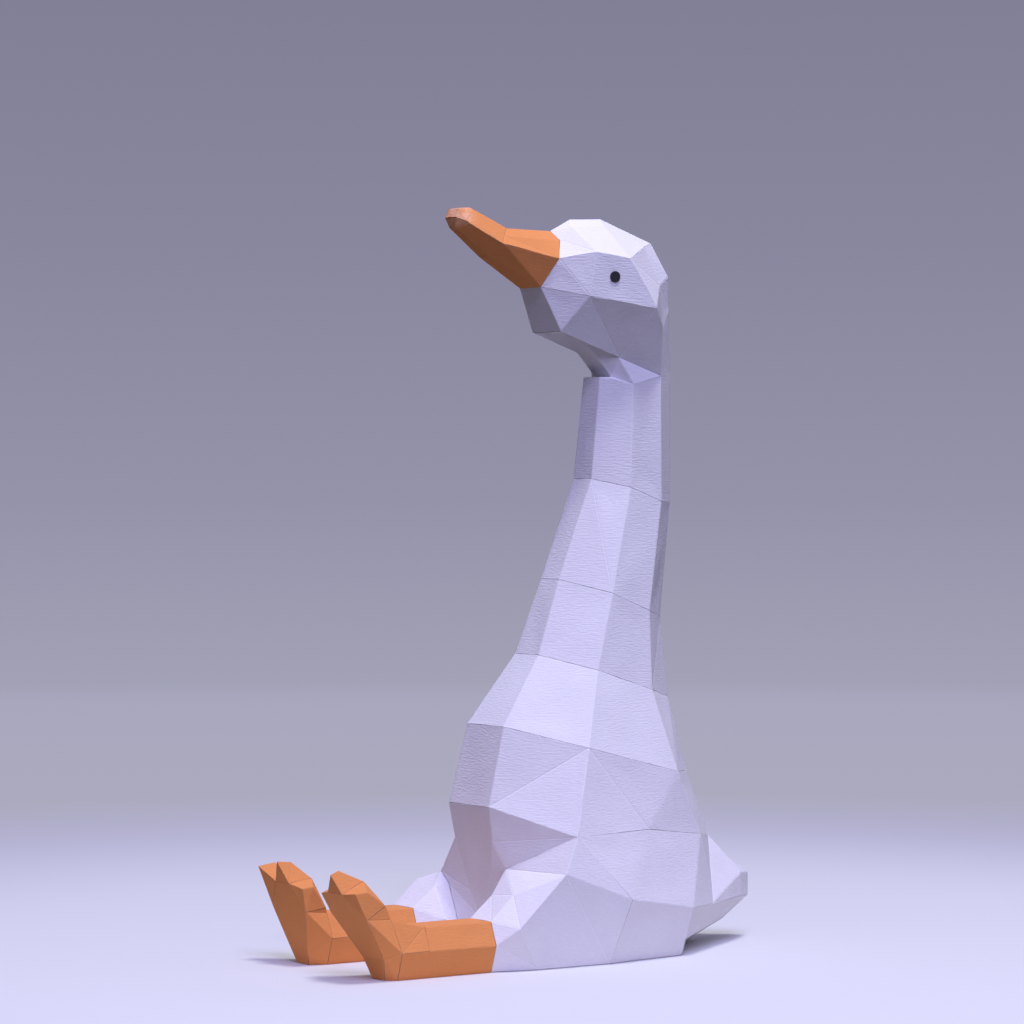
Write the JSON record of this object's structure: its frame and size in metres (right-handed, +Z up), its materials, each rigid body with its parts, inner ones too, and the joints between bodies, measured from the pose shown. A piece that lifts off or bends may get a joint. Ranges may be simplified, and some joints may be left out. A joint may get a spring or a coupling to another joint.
{
  "type": "papercraft goose figure",
  "caption": "Sitting goose folded from flat facets of white card, with an upturned orange beak, a tall neck and orange legs stretched out in front.",
  "frame": {"origin": "on the underside of the base card, in the middle plane of the body, below the neck's section at the shoulder", "axes": "+Z up along the neck, -Y the way that the beak and the legs point, +X the goose's left side"},
  "size_m": [0.1475, 0.3322, 0.4485],
  "materials": {
    "white_card": "matt felt-grain white card",
    "orange_card": "matt orange card",
    "black_card": "matt black card"
  },
  "bodies": {
    "root": {"beak_upper": "orange_card", "beak_lower": "orange_card", "crown": "white_card", "face_left": "white_card", "face_right": "white_card", "eye_left": "black_card", "eye_right": "black_card", "back_of_head": "white_card", "jaw": "white_card", "throat": "white_card", "nape": "white_card", "neck_sleeve_1": "white_card", "neck_sleeve_2": "white_card", "neck_sleeve_3": "white_card", "neck_sleeve_4": "white_card", "breast": "white_card", "flank_left": "white_card", "flank_right": "white_card", "back": "white_card", "belly": "white_card", "thigh_left": "white_card", "thigh_right": "white_card", "haunch_left": "white_card", "haunch_right": "white_card", "tail_upper": "white_card", "tail_lower": "white_card", "base": "white_card", "leg_left": "orange_card", "leg_right": "orange_card", "ankle_left": "orange_card", "ankle_right": "orange_card", "foot_sole_left": "orange_card", "foot_sole_right": "orange_card", "foot_heel_left": "orange_card", "foot_heel_right": "orange_card", "foot_middle_toe_left": "orange_card", "foot_middle_toe_right": "orange_card", "foot_outer_toe_left": "orange_card", "foot_outer_toe_right": "orange_card", "foot_inner_toe_left": "orange_card", "foot_inner_toe_right": "orange_card"}
  },
  "joints": []
}
